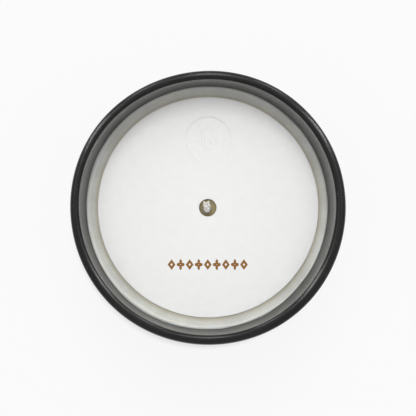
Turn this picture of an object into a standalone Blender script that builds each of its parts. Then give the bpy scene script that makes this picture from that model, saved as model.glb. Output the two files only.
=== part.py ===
"""A container candle: a tapered black vessel of poured wax, a braided wick and a card dust cover.

Units are metres and +Z is up. The origin is the middle of the foot ring's flat face. The wick
leans towards +Y, which is the top of the dust cover's print.
"""

import math

import bmesh
import bpy

MM = 0.001
GAP = 0.3 * MM  # clearance between pieces that touch
LARGE_STEPS = 64  # sides of a wide turned shape
SMALL_STEPS = 32  # sides of a narrow turned shape
MERGE = 0.01 * MM

# Vessel
HEIGHT = 92 * MM
LIP_RADIUS = 42 * MM
LIP_INNER_ROUND = 1.15 * MM
LIP_OUTER_ROUND = 1.55 * MM
OUTER_DRAFT = math.radians(1.9)
INNER_DRAFT = math.radians(2.35)
FLOOR_Z = 8 * MM
FLOOR_CORNER = 4 * MM
BASE_CORNER = 3 * MM
FOOT_INNER_RADIUS = 31.5 * MM
FOOT_RECESS = 1.2 * MM

# Wick sustainer and the pad that holds it to the floor
PAD_RADIUS = 9 * MM
PAD_THICKNESS = 1 * MM
TAB_RADIUS = 10 * MM
TAB_THICKNESS = 0.5 * MM
NECK_WALL = 0.5 * MM
NECK_HEIGHT = 6 * MM
NECK_FILLET = 0.8 * MM

# Wick
WICK_RADIUS = 1.15 * MM
WICK_STAND = 7 * MM  # from the wax up to the cut tip
WICK_DRIFT = (-0.3 * MM, -0.4 * MM)  # where it leaves the wax, off the vessel's axis
WICK_LEAN = (-0.1 * MM, 1.5 * MM)  # how far the tip leans from there
WICK_SPANS = 7  # straight spans in the wax, and again above it

# Wax
WAX_MIDDLE_Z = 66.3 * MM
WAX_SHELF_RADIUS = 36 * MM  # where the surface starts to climb the wall
WAX_SHELF_Z = 66.9 * MM
MENISCUS_HEIGHT = 1.7 * MM
MENISCUS_SPANS = 5

# Dust cover
CARD_RADIUS = 35 * MM
CARD_THICKNESS = 0.6 * MM
CARD_HOLE_RADIUS = 2.75 * MM

# Heights that follow from the sizes above
PAD_Z = FLOOR_Z + GAP
TAB_Z = PAD_Z + PAD_THICKNESS + GAP
TAB_TOP = TAB_Z + TAB_THICKNESS
NECK_TOP = TAB_TOP + NECK_HEIGHT
NECK_BORE = WICK_RADIUS + GAP
NECK_RADIUS = NECK_BORE + NECK_WALL
WICK_FOOT_Z = TAB_Z
CARD_Z = WAX_SHELF_Z + GAP

# Colours are linear RGB
FINISHES = {
    "vessel": ((0.024, 0.024, 0.023), 0.38, 0.0),
    "wax_fill": ((0.80, 0.77, 0.68), 0.45, 0.0),
    "wick": ((0.84, 0.80, 0.70), 0.80, 0.0),
    "wick_sustainer": ((0.62, 0.62, 0.60), 0.30, 1.0),
    "adhesive_pad": ((0.80, 0.80, 0.78), 0.70, 0.0),
    "dust_cover": ((0.87, 0.87, 0.86), 0.75, 0.0),
}


def outer_radius(z):
    """Radius of the vessel's outside wall at height z."""
    return LIP_RADIUS - (HEIGHT - LIP_OUTER_ROUND - z) * math.tan(OUTER_DRAFT)


def inner_radius(z):
    """Radius of the vessel's inside wall at height z."""
    lip_inside = LIP_RADIUS - LIP_OUTER_ROUND - LIP_INNER_ROUND
    return lip_inside - (HEIGHT - LIP_INNER_ROUND - z) * math.tan(INNER_DRAFT)


def arc(centre, radius, start, end, spans):
    """Points (r, z) of a circular arc about centre, from start to end in degrees."""
    points = []
    for i in range(spans + 1):
        angle = math.radians(start + (end - start) * i / spans)
        r = centre[0] + radius * math.cos(angle)
        z = centre[1] + radius * math.sin(angle)
        points.append((r, z))
    return points


def finish(name):
    """A plain material with the piece's colour, roughness and metallic value."""
    colour, roughness, metallic = FINISHES[name]
    material = bpy.data.materials.new(name)
    material.use_nodes = True
    shader = material.node_tree.nodes["Principled BSDF"]
    shader.inputs["Base Color"].default_value = (*colour, 1)
    shader.inputs["Roughness"].default_value = roughness
    shader.inputs["Metallic"].default_value = metallic
    return material


def turned(name, profile, steps, collection, closed=False):
    """A solid of revolution about Z. The profile's (r, z) points run down its outer side."""
    mesh = bpy.data.meshes.new(name)
    shape = bmesh.new()
    points = [shape.verts.new((r, 0, z)) for r, z in profile]
    for a, b in zip(points, points[1:]):
        shape.edges.new((a, b))
    if closed:
        shape.edges.new((points[-1], points[0]))
    shape.to_mesh(mesh)
    shape.free()
    piece = bpy.data.objects.new(name, mesh)
    collection.objects.link(piece)
    screw = piece.modifiers.new("turn", "SCREW")
    screw.axis = "Z"
    screw.angle = math.tau
    screw.steps = steps
    screw.render_steps = steps
    screw.use_merge_vertices = True
    screw.merge_threshold = MERGE
    screw.use_smooth_shade = True
    return piece


def wick_centre(z):
    """The wick's centre (x, y, z) at height z: upright in the wax, then leaning."""
    in_wax = min(1, max(0, (z - NECK_TOP) / (WAX_MIDDLE_Z - NECK_TOP)))
    drift = in_wax * in_wax * (3 - 2 * in_wax)
    lean = max(0, (z - WAX_MIDDLE_Z) / WICK_STAND) ** 1.5
    x = drift * WICK_DRIFT[0] + lean * WICK_LEAN[0]
    y = drift * WICK_DRIFT[1] + lean * WICK_LEAN[1]
    return (x, y, z)


def wick_tube(name, radius, heights, collection):
    """A round tube with filled ends along the wick's centre line."""
    curve = bpy.data.curves.new(name, "CURVE")
    curve.dimensions = "3D"
    curve.bevel_depth = radius
    curve.bevel_resolution = 4
    curve.use_fill_caps = True
    spline = curve.splines.new("POLY")
    spline.points.add(len(heights) - 1)
    for point, z in zip(spline.points, heights):
        point.co = (*wick_centre(z), 1)
    tube = bpy.data.objects.new(name, curve)
    collection.objects.link(tube)
    return tube


def as_mesh(tube, collection):
    """Replaces a curve object by a mesh object with its caps welded on."""
    seen = tube.evaluated_get(bpy.context.evaluated_depsgraph_get())
    mesh = bpy.data.meshes.new_from_object(seen)
    shape = bmesh.new()
    shape.from_mesh(mesh)
    bmesh.ops.remove_doubles(shape, verts=shape.verts, dist=MERGE)
    shape.to_mesh(mesh)
    shape.free()
    solid = bpy.data.objects.new(tube.name + "_solid", mesh)
    collection.objects.link(solid)
    solid.matrix_world = tube.matrix_world
    bpy.data.objects.remove(tube)
    return solid


def make_vessel(collection):
    """The tumbler: flat floor, drafted walls, a rounded lip and a recessed foot."""
    floor_edge = inner_radius(FLOOR_Z + FLOOR_CORNER)
    corner = (floor_edge - FLOOR_CORNER, FLOOR_Z + FLOOR_CORNER)
    lip_inside = inner_radius(HEIGHT - LIP_INNER_ROUND)
    crest = lip_inside + LIP_INNER_ROUND
    base_edge = outer_radius(BASE_CORNER)
    profile = [(0, FLOOR_Z)]
    profile += arc(corner, FLOOR_CORNER, -90, 0, 6)
    profile += arc((crest, HEIGHT - LIP_INNER_ROUND), LIP_INNER_ROUND, 180, 90, 5)
    profile += arc((crest, HEIGHT - LIP_OUTER_ROUND), LIP_OUTER_ROUND, 90, 0, 6)[1:]
    profile += arc((base_edge - BASE_CORNER, BASE_CORNER), BASE_CORNER, 0, -90, 5)
    profile.append((FOOT_INNER_RADIUS, 0))
    profile.append((FOOT_INNER_RADIUS - FOOT_RECESS, FOOT_RECESS))
    profile.append((0, FOOT_RECESS))
    return turned("vessel", profile, LARGE_STEPS, collection)


def make_adhesive_pad(collection):
    """The sticky disc between the sustainer and the vessel's floor."""
    top = PAD_Z + PAD_THICKNESS
    profile = [(0, top), (PAD_RADIUS, top), (PAD_RADIUS, PAD_Z), (0, PAD_Z)]
    return turned("adhesive_pad", profile, SMALL_STEPS, collection)


def make_wick_sustainer(collection):
    """The pressed metal tab, a flat disc with a neck that grips the wick."""
    fillet_centre = (NECK_RADIUS + NECK_FILLET, TAB_TOP + NECK_FILLET)
    profile = [(NECK_BORE, NECK_TOP), (NECK_RADIUS, NECK_TOP)]
    profile += arc(fillet_centre, NECK_FILLET, 180, 270, 4)
    profile += [(TAB_RADIUS, TAB_TOP), (TAB_RADIUS, TAB_Z), (NECK_BORE, TAB_Z)]
    return turned("wick_sustainer", profile, SMALL_STEPS, collection, closed=True)


def make_wick(collection):
    """The braided wick, from the sustainer's neck to its cut tip."""
    heights = [WICK_FOOT_Z]
    heights += [NECK_TOP + (WAX_MIDDLE_Z - NECK_TOP) * i / WICK_SPANS for i in range(WICK_SPANS)]
    heights += [WAX_MIDDLE_Z + WICK_STAND * i / WICK_SPANS for i in range(WICK_SPANS + 1)]
    return wick_tube("wick", WICK_RADIUS, heights, collection)


def make_wax_fill(collection, cutters):
    """The poured wax, with a pocket for the sustainer and a bore for the wick."""
    rim_z = WAX_SHELF_Z + MENISCUS_HEIGHT
    rim_radius = inner_radius(rim_z) - GAP
    climb = rim_radius - WAX_SHELF_RADIUS
    profile = [(0, WAX_MIDDLE_Z)]
    for i in range(MENISCUS_SPANS + 1):
        part = i / MENISCUS_SPANS
        profile.append((WAX_SHELF_RADIUS + climb * part, WAX_SHELF_Z + MENISCUS_HEIGHT * part**2.5))
    corner_z = FLOOR_Z + FLOOR_CORNER
    corner_radius = FLOOR_CORNER - GAP
    corner = (inner_radius(corner_z) - FLOOR_CORNER, corner_z)
    profile += arc(corner, corner_radius, 0, -90, 5)
    profile.append((TAB_RADIUS + GAP, PAD_Z))
    profile.append((TAB_RADIUS + GAP, TAB_TOP + GAP))
    profile.append((NECK_RADIUS + NECK_FILLET + GAP, TAB_TOP + GAP))
    profile.append((NECK_RADIUS + GAP, TAB_TOP + NECK_FILLET + GAP))
    profile.append((NECK_RADIUS + GAP, NECK_TOP + GAP))
    profile.append((0, NECK_TOP + GAP))
    wax = turned("wax_fill", profile, LARGE_STEPS, collection)

    start = NECK_TOP - GAP
    spans = 2 * WICK_SPANS
    end = WAX_MIDDLE_Z + WICK_STAND / 2
    heights = [start + (end - start) * i / spans for i in range(spans + 1)]
    bore = as_mesh(wick_tube("wick_bore", WICK_RADIUS + GAP, heights, cutters), cutters)
    bore.display_type = "WIRE"
    bore.hide_render = True
    cut = wax.modifiers.new("wick bore", "BOOLEAN")
    cut.operation = "DIFFERENCE"
    cut.solver = "EXACT"
    cut.object = bore
    return wax


def make_dust_cover(collection):
    """The card disc that rests on the wax, punched in the middle for the wick."""
    top = CARD_Z + CARD_THICKNESS
    profile = [
        (CARD_HOLE_RADIUS, top),
        (CARD_RADIUS, top),
        (CARD_RADIUS, CARD_Z),
        (CARD_HOLE_RADIUS, CARD_Z),
    ]
    return turned("dust_cover", profile, LARGE_STEPS, collection, closed=True)


def main():
    """Clears the scene and builds the candle from the floor up."""
    for old in list(bpy.data.objects):
        bpy.data.objects.remove(old)
    candle = bpy.data.collections.new("container_candle")
    cutters = bpy.data.collections.new("cutters")
    bpy.context.scene.collection.children.link(candle)
    bpy.context.scene.collection.children.link(cutters)
    pieces = [
        make_vessel(candle),
        make_adhesive_pad(candle),
        make_wick_sustainer(candle),
        make_wick(candle),
        make_wax_fill(candle, cutters),
        make_dust_cover(candle),
    ]
    for piece in pieces:
        piece.data.materials.append(finish(piece.name))


main()
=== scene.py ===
"""Looks of a container candle: a satin black tumbler, poured wax, a braided wick and a card cover.

Lengths are in metres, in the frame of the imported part: +Z is up, the origin is the middle of the
foot ring, and +Y is the top of the dust cover's print. Each sub-assembly is a class with its sizes
as fields, each finish is a small class that makes one material, and main() builds them in order.
"""

import logging
import math
import random
from collections.abc import Callable, Iterator, Sequence
from contextlib import contextmanager
from dataclasses import dataclass
from enum import Enum

import bmesh
import bpy
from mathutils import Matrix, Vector


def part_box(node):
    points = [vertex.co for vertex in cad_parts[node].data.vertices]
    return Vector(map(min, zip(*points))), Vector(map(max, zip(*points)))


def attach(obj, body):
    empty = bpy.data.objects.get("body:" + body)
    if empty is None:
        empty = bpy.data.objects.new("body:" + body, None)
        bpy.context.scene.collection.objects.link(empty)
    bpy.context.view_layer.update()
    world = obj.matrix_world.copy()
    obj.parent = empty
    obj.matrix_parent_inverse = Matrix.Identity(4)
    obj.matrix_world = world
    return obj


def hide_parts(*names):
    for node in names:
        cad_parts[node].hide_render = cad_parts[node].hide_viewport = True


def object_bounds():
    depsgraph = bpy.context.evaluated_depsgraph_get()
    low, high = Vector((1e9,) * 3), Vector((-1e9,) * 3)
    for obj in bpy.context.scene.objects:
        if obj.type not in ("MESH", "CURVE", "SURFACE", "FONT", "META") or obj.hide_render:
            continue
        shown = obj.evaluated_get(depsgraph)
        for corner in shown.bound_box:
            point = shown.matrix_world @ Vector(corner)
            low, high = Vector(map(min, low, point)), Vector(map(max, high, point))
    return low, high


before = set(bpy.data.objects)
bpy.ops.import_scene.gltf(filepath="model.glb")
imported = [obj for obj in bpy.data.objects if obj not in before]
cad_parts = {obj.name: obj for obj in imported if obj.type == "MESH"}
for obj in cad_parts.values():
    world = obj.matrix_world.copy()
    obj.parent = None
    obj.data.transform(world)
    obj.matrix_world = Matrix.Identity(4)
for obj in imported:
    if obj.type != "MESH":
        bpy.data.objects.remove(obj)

MM = 0.001
BODY = "root"
LOG = logging.getLogger("container_candle")
CAD_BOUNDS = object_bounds()

Colour = tuple[float, float, float]
Ring = tuple[float, float]  # radius and height of one hoop of a turned shape
Spot = tuple[float, float, float]


# ---------------------------------------------------------------- shader nodes


def sum_of(operation: str, swapped: bool = False) -> Callable[["Signal", "Signal | float"], "Signal"]:
    """An operator of Signal that adds one Math node.

    Args:
        operation: the node's operation.
        swapped: whether the other value comes first.

    Returns:
        The operator's method.
    """

    def operator(one: "Signal", other: "Signal | float") -> "Signal":
        """The two values worked out together."""
        pair = (other, one) if swapped else (one, other)
        return one.graph.maths(operation, *pair)

    return operator


@dataclass(frozen=True)
class Signal:
    """A value that a material works out at each point of a surface, with the usual arithmetic."""

    graph: "Graph"
    socket: bpy.types.NodeSocket

    __add__ = sum_of("ADD")
    __radd__ = sum_of("ADD", swapped=True)
    __sub__ = sum_of("SUBTRACT")
    __rsub__ = sum_of("SUBTRACT", swapped=True)
    __mul__ = sum_of("MULTIPLY")
    __pow__ = sum_of("POWER")

    def sibling(self, name: str) -> "Signal":
        """Another output of the node that this comes from."""
        return Signal(self.graph, self.socket.node.outputs[name])


class Graph:
    """The node tree of a material or of the world."""

    def __init__(self, owner: bpy.types.Material | bpy.types.World) -> None:
        """Starts an empty tree.

        Args:
            owner: what the tree belongs to.
        """
        owner.use_nodes = True
        self.owner = owner
        self.tree = owner.node_tree
        self.tree.nodes.clear()

    def node(
        self,
        kind: str,
        inputs: dict[str | int, object] | None = None,
        output: str | int = 0,
        **settings: object,
    ) -> Signal | None:
        """Adds a node, its settings first and then its sockets.

        Args:
            kind: the node's type.
            inputs: socket names, identifiers or numbers, each with a value or a Signal.
            output: the output to return.
            settings: properties of the node.

        Returns:
            The output as a Signal, or None for a node that has no outputs.
        """
        made = self.tree.nodes.new(kind)
        for key, value in settings.items():
            setattr(made, key, value)
        for key, value in (inputs or {}).items():
            socket = self._find(made.inputs, key)
            if isinstance(value, Signal):
                self.tree.links.new(value.socket, socket)
            else:
                socket.default_value = value
        return Signal(self, self._find(made.outputs, output)) if made.outputs else None

    @staticmethod
    def _find(sockets: Sequence[bpy.types.NodeSocket], key: str | int) -> bpy.types.NodeSocket:
        """The socket with that number, identifier or name.

        Args:
            sockets: a node's inputs or outputs.
            key: the number, identifier or name.

        Returns:
            The socket.
        """
        if isinstance(key, int):
            return sockets[key]
        named = [s for s in sockets if s.identifier == key]
        return (named or [s for s in sockets if s.name == key])[0]

    def maths(self, operation: str, *values: "Signal | float") -> Signal:
        """Adds one Math node of that operation, with its inputs in order."""
        return self.node("ShaderNodeMath", dict(enumerate(values)), operation=operation)

    def place(self) -> Signal:
        """The point in the piece's own coordinates, in metres."""
        return self.node("ShaderNodeTexCoord", output="Object")

    def stretched(self, scale: Spot, turn: Spot = (0, 0, 0)) -> Signal:
        """The point with each axis scaled, after a turn by Euler angles in radians."""
        inputs = {"Vector": self.place(), "Rotation": turn, "Scale": scale}
        return self.node("ShaderNodeMapping", inputs)

    def axes(self, vector: Signal) -> tuple[Signal, Signal, Signal]:
        """The three parts of a vector."""
        x = self.node("ShaderNodeSeparateXYZ", {0: vector}, "X")
        return x, x.sibling("Y"), x.sibling("Z")

    def away(self, x: Signal, y: Signal) -> Signal:
        """How far a point is from where both of its parts are 0."""
        return (x * x + y * y) ** 0.5

    def noise(
        self, size: float, detail: float = 2, rough: float = 0.5, vector: Signal | None = None
    ) -> Signal:
        """Noise between 0 and 1.

        Args:
            size: the width of its largest blotches, in metres of the vector.
            detail: how many finer layers it has.
            rough: how strong those are.
            vector: where it is read, or None for the piece's own coordinates.

        Returns:
            The noise.
        """
        inputs = {
            "Vector": vector or self.place(),
            "Scale": 1 / size,
            "Detail": detail,
            "Roughness": rough,
        }
        return self.node("ShaderNodeTexNoise", inputs, "Fac")

    def smooth(self, value: Signal, low: float, high: float) -> Signal:
        """A soft step: 0 at low, 1 at high. Low may be the larger."""
        inputs = {"Value": value, "From Min": low, "From Max": high}
        return self.node("ShaderNodeMapRange", inputs, interpolation_type="SMOOTHSTEP")

    def blend(self, share: Signal, first: Colour | Signal, second: Colour | Signal) -> Signal:
        """A colour between two.

        Args:
            share: 0 for the first, 1 for the second.
            first: a colour or a Signal.
            second: a colour or a Signal.

        Returns:
            The colour.
        """
        inputs = {"Factor_Float": share}
        for key, colour in (("A_Color", first), ("B_Color", second)):
            inputs[key] = colour if isinstance(colour, Signal) else (*colour, 1)
        return self.node("ShaderNodeMix", inputs, "Result_Color", data_type="RGBA")

    def relief(self, height: Signal, depth: float) -> Signal:
        """A bump normal, where a height of 1 stands for a depth in metres."""
        inputs = {"Height": height, "Distance": depth, "Strength": 1.0}
        return self.node("ShaderNodeBump", inputs)

    def finished(
        self, colour: Colour | Signal, roughness: Signal, **sockets: object
    ) -> bpy.types.Material:
        """Ends the tree in a Principled shader.

        Args:
            colour: its base colour.
            roughness: its roughness.
            sockets: its other sockets, each with a value or a Signal, _ for each space in a name.

        Returns:
            The material.
        """
        base = colour if isinstance(colour, Signal) else (*colour, 1)
        inputs = {"Base Color": base, "Roughness": roughness}
        inputs |= {name.replace("_", " "): value for name, value in sockets.items()}
        shader = self.node("ShaderNodeBsdfPrincipled", inputs)
        self.node("ShaderNodeOutputMaterial", {"Surface": shader})
        return self.owner


def material_graph(name: str) -> Graph:
    """An empty tree in a new material."""
    return Graph(bpy.data.materials.new(name))


# ---------------------------------------------------------------- finishes


@dataclass(frozen=True)
class SatinGlaze:
    """Satin black glaze with a fine orange peel, a film of wax above the fill, and a bare foot."""

    black: Colour = (0.0155, 0.0155, 0.015)
    pooled: Colour = (0.012, 0.012, 0.0118)
    clay: Colour = (0.13, 0.12, 0.105)
    film: Colour = (0.30, 0.30, 0.27)
    film_share: float = 0.02
    foot_radius: float = 31.2 * MM
    foot_z: float = 0.15 * MM
    inside_radius: float = 39.9 * MM
    film_top: float = 76 * MM
    film_foot: float = 68 * MM
    lip_foot: float = 90.6 * MM
    bright_top: float = 101 * MM  # above the lip, so that the whole wall is a little dulled
    dull_foot: float = 66 * MM
    peel_depth: float = 0.010 * MM

    def material(self) -> bpy.types.Material:
        """The glaze as a material.

        Returns:
            The material.
        """
        g = material_graph("satin_black_glaze")
        x, y, z = g.axes(g.place())
        radius = g.away(x, y)
        pooling = g.smooth(g.noise(24 * MM, 3), 0.38, 0.66)
        low = g.smooth(z, self.foot_z + 0.3 * MM, self.foot_z)
        bare = low * g.smooth(radius, self.foot_radius - 0.6 * MM, self.foot_radius)
        inside = g.smooth(radius, self.inside_radius, self.inside_radius - 0.5 * MM)
        inside = inside * g.smooth(z, self.lip_foot + 0.6 * MM, self.lip_foot)
        streaks = g.noise(1.3 * MM, 3, 0.6, g.stretched((1, 1, 0.12)))
        film = inside * g.smooth(z, self.film_top, self.film_foot)
        film = film * g.smooth(streaks, 0.35, 0.75) * self.film_share
        specks = g.smooth(g.noise(0.5 * MM, 1), 0.74, 0.78)
        colour = g.blend(pooling, self.black, self.pooled)
        colour = g.blend(specks * 0.35, colour, self.film)
        colour = g.blend(film, colour, self.film)
        colour = g.blend(bare, colour, self.clay)
        handling = g.smooth(g.noise(15 * MM, 4, 0.6, g.stretched((1, 1, 0.6))), 0.45, 0.75)
        dulled = inside * g.smooth(z, self.bright_top, self.dull_foot)
        roughness = 0.20 + pooling * 0.03 + handling * 0.04 + bare * 0.5 + dulled * 0.20
        peel = g.noise(1.1 * MM, 2) * 0.5 + g.noise(7 * MM, 1) * 2.2 + bare * g.noise(0.3 * MM, 2)
        normal = g.relief(peel, self.peel_depth)
        return g.finished(colour, roughness, IOR=1.45, Specular_IOR_Level=0.35, Normal=normal)


@dataclass(frozen=True)
class CandleWax:
    """Poured soy wax: cream, a little clear, mottled, with frost, a warmer and darker patch at the
    wick that is partly a stain and partly painted shade, painted shade under the card's edges and
    painted light near the wall.
    """

    cream: Colour = (0.58, 0.585, 0.545)
    ivory: Colour = (0.66, 0.665, 0.625)
    frost: Colour = (0.70, 0.70, 0.67)
    # a warm wax stain at the wick, made darker as painted shade of the card's hole over it
    wick_stain_and_shade: Colour = (0.34, 0.285, 0.15)
    # painted shade under the edge of the card's hole
    hole_shade_colour: Colour = (0.12, 0.09, 0.035)
    # painted light: a paler wax colour near the wall, against the wall's shade
    rim: Colour = (0.84, 0.84, 0.80)
    rim_start: float = 36.9 * MM
    rim_end: float = 38.3 * MM
    wick_patch_radius: float = 3.4 * MM
    # the painted shade under the card's hole starts at this radius
    hole_shade: float = 2.1 * MM  # where the shade under the edge of the card's hole starts
    # where the painted shade under the card's edge lies
    card_edge: float = 35.2 * MM
    ripple_depth: float = 0.045 * MM

    def material(self) -> bpy.types.Material:
        """The wax as a material.

        Returns:
            The material.
        """
        g = material_graph("poured_candle_wax")
        x, y, _ = g.axes(g.place())
        radius = g.away(x, y)
        mottle = g.smooth(g.noise(8 * MM, 4, 0.6), 0.35, 0.68)
        frosted = g.smooth(g.noise(1.8 * MM, 5, 0.65), 0.52, 0.70)
        # a warmer, darker patch at the wick: partly a stain in the wax, partly painted shade of the
        # card's hole; painted shade under the card's edge is added below
        stain_and_painted_shade = g.smooth(radius, self.wick_patch_radius * 1.6, self.wick_patch_radius * 0.6)
        # painted shade in a band of the wax under the card's edge
        wax_soak_and_edge_shade = g.smooth(radius, self.card_edge + 1.5 * MM, self.card_edge - 0.2 * MM)
        stain_and_painted_shade = stain_and_painted_shade + wax_soak_and_edge_shade * 0.5
        colour = g.blend(mottle, self.cream, self.ivory)
        colour = g.blend(frosted * 0.5, colour, self.frost)
        # painted light: the wax is made paler as it nears the wall, where the wall's shade falls
        colour = g.blend(g.smooth(radius, self.rim_start, self.rim_end) * 0.6, colour, self.rim)
        colour = g.blend(stain_and_painted_shade, colour, self.wick_stain_and_shade)
        # painted shade: the wax is darkened in a ring under the edge of the card's hole
        painted_shade = g.smooth(radius, self.hole_shade, self.hole_shade + 0.6 * MM)
        painted_shade = painted_shade * g.smooth(radius, 6 * MM, 4 * MM)
        colour = g.blend(painted_shade * 0.6, colour, self.hole_shade_colour)
        roughness = 0.36 + frosted * 0.16 + mottle * 0.06
        ripples = g.noise(2.6 * MM, 3) * 1.5 + g.noise(0.45 * MM, 2) * 0.35 + frosted * 0.15
        return g.finished(
            colour,
            roughness,
            IOR=1.44,
            Subsurface_Weight=0.35,
            Subsurface_Radius=(1.0, 0.8, 0.5),
            Subsurface_Scale=1.2 * MM,
            Normal=g.relief(ripples, self.ripple_depth),
        )


@dataclass(frozen=True)
class WaxedCotton:
    """Bleached cotton yarn primed with wax, flecked with tan at its cut ends."""

    yarn: Colour = (0.96, 0.955, 0.935)
    shade: Colour = (0.90, 0.88, 0.82)
    cut: Colour = (0.46, 0.32, 0.17)
    cut_from: float = 70.6 * MM
    cut_to: float = 71.4 * MM

    def material(self) -> bpy.types.Material:
        """The cotton as a material.

        Returns:
            The material.
        """
        g = material_graph("waxed_cotton_braid")
        _, _, z = g.axes(g.place())
        fibres = g.noise(0.16 * MM, 3, 0.6, g.stretched((1, 1, 0.25)))
        wax_soak_and_edge_shade = g.smooth(g.noise(1.2 * MM, 2), 0.4, 0.65)
        ends = g.smooth(z, self.cut_from, self.cut_to) * g.smooth(g.noise(0.5 * MM, 1), 0.58, 0.63)
        colour = g.blend(fibres * 0.4, self.yarn, self.shade)
        colour = g.blend(ends * 0.9, colour, self.cut)
        return g.finished(
            colour,
            0.72 - wax_soak_and_edge_shade * 0.25,
            Subsurface_Weight=0.3,
            Subsurface_Radius=(1.0, 0.95, 0.85),
            Subsurface_Scale=1.0 * MM,
            Normal=g.relief(fibres, 0.02 * MM),
        )


@dataclass(frozen=True)
class TinnedSteel:
    """Thin tinplate, brushed as it was rolled, duller where wax has lain on it."""

    bright: Colour = (0.66, 0.66, 0.64)
    dull: Colour = (0.45, 0.44, 0.41)

    def material(self) -> bpy.types.Material:
        """The tinplate as a material.

        Returns:
            The material.
        """
        g = material_graph("brushed_tinplate")
        grain = g.noise(0.35 * MM, 3, 0.6, g.stretched((0.08, 1, 1)))
        dulled = g.smooth(g.noise(3 * MM, 3), 0.45, 0.7)
        colour = g.blend(dulled * 0.6, self.bright, self.dull)
        roughness = 0.24 + grain * 0.12 + dulled * 0.15
        return g.finished(colour, roughness, Metallic=1.0, Normal=g.relief(grain, 0.012 * MM))


@dataclass(frozen=True)
class FoamTape:
    """White foam tape with open cells at its cut edge, and painted shade in the cells' pits."""

    foam: Colour = (0.80, 0.80, 0.78)
    pit_shade: Colour = (0.58, 0.57, 0.53)
    cells_per_metre: float = 2400.0

    def material(self) -> bpy.types.Material:
        """The foam as a material.

        Returns:
            The material.
        """
        g = material_graph("white_foam_tape")
        inputs = {"Vector": g.place(), "Scale": self.cells_per_metre}
        cells = g.node("ShaderNodeTexVoronoi", inputs, feature="F1")
        pits = g.smooth(cells, 0.45, 0.1)
        # painted shade in the pits of the cells
        colour = g.blend(pits * 0.6, self.foam, self.pit_shade)
        return g.finished(colour, 0.8 + pits * 0.1, Normal=g.relief(1 - pits, 0.08 * MM))


@dataclass(frozen=True)
class CardStock:
    """Uncoated white board with felt-like fibres, greyer at its die-cut edges, with painted shade
    along its emblem's step.
    """

    field_middle: tuple[float, float]
    field_radius: float
    radius: float
    hole_radius: float
    white: Colour = (0.885, 0.885, 0.875)
    fibre: Colour = (0.83, 0.825, 0.81)
    edge: Colour = (0.76, 0.73, 0.67)
    # painted shade along the emblem's pressed step, stronger towards +Y where the step faces away
    # from the light
    step_shade_grey: Colour = (0.72, 0.72, 0.71)
    step_shade_width: float = 0.42 * MM
    step_shade_least: float = 0.15
    step_shade_gain: float = 0.55  # how much stronger it is towards +Y

    def material(self) -> bpy.types.Material:
        """The board as a material.

        Returns:
            The material.
        """
        g = material_graph("uncoated_white_board")
        x, y, _ = g.axes(g.place())
        radius = g.away(x, y)
        pulp = g.noise(2.4 * MM, 5, 0.62)
        strands = g.noise(0.32 * MM, 3, 0.6, g.stretched((1, 0.35, 1), (0, 0, 0.5)))
        rim = g.smooth(radius, self.radius - 0.22 * MM, self.radius - 0.02 * MM)
        rim = rim + g.smooth(radius, self.hole_radius + 0.25 * MM, self.hole_radius + 0.05 * MM)
        colour = g.blend(g.smooth(pulp, 0.35, 0.7) * 0.35, self.white, self.fibre)
        colour = g.blend(g.smooth(strands, 0.6, 0.8) * 0.3, colour, self.fibre)
        colour = g.blend(rim * 0.6, colour, self.edge)
        across, up = x - self.field_middle[0], y - self.field_middle[1]
        off_line = g.maths("ABSOLUTE", g.away(across, up) - self.field_radius)
        # painted shade along the emblem's step, stronger towards +Y
        painted_step_shade = g.smooth(off_line, self.step_shade_width, 0.05 * MM)
        painted_step_shade = painted_step_shade * (self.step_shade_least + g.smooth(up, -1 * MM, 6.5 * MM) * self.step_shade_gain)
        colour = g.blend(painted_step_shade, colour, self.step_shade_grey)
        roughness = 0.70 + strands * 0.12
        normal = g.relief(strands * 0.6 + pulp * 0.8, 0.018 * MM)
        return g.finished(colour, roughness, Normal=normal)


@dataclass(frozen=True)
class CopperFoil:
    """Hot-stamped copper foil, dark and satin, broken by the board's fibres."""

    copper: Colour = (0.29, 0.130, 0.024)
    worn: Colour = (0.22, 0.095, 0.018)

    def material(self) -> bpy.types.Material:
        """The foil as a material.

        Returns:
            The material.
        """
        g = material_graph("stamped_copper_foil")
        rubbed = g.smooth(g.noise(0.6 * MM, 4, 0.6), 0.45, 0.7)
        scratches = g.noise(0.14 * MM, 2, 0.5, g.stretched((0.15, 1, 1), (0, 0, 0.7)))
        colour = g.blend(rubbed * 0.7, self.copper, self.worn)
        roughness = 0.36 + scratches * 0.16 + rubbed * 0.08
        normal = g.relief(scratches + rubbed * 0.5, 0.008 * MM)
        return g.finished(colour, roughness, Metallic=0.35, Normal=normal)


@dataclass(frozen=True)
class StudioPaper:
    """Plain pale paper that glows evenly, as on a light table, with a painted shadow: a soft disc of
    dimmer glow where the vessel stands.
    """

    pale: Colour = (0.08, 0.08, 0.08)
    glow: float = 0.88
    # the painted shadow: how much it dims the glow, its middle, and the radii where it starts to fade
    # and where it ends
    shade: float = 0.43
    shade_middle: tuple[float, float] = (-1.0 * MM, -2.45 * MM)
    shade_radius: float = 44 * MM
    shade_end: float = 48.4 * MM

    def material(self) -> bpy.types.Material:
        """The paper as a material.

        Returns:
            The material.
        """
        g = material_graph("studio_paper")
        tooth = g.noise(1.5 * MM, 2)
        x, y, _ = g.axes(g.place())
        x, y = x - self.shade_middle[0], y - self.shade_middle[1]
        # painted shadow of the vessel on the floor
        painted_shade = g.smooth(g.away(x, y), self.shade_end, self.shade_radius)
        dim = 1 - self.shade
        return g.finished(
            self.pale,
            0.85 + tooth * 0.08,
            Specular_IOR_Level=0.0,
            Emission_Color=g.blend(painted_shade, (1, 1, 1), (dim, dim, dim)),
            Emission_Strength=self.glow,
        )


# ---------------------------------------------------------------- at the bench


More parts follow.
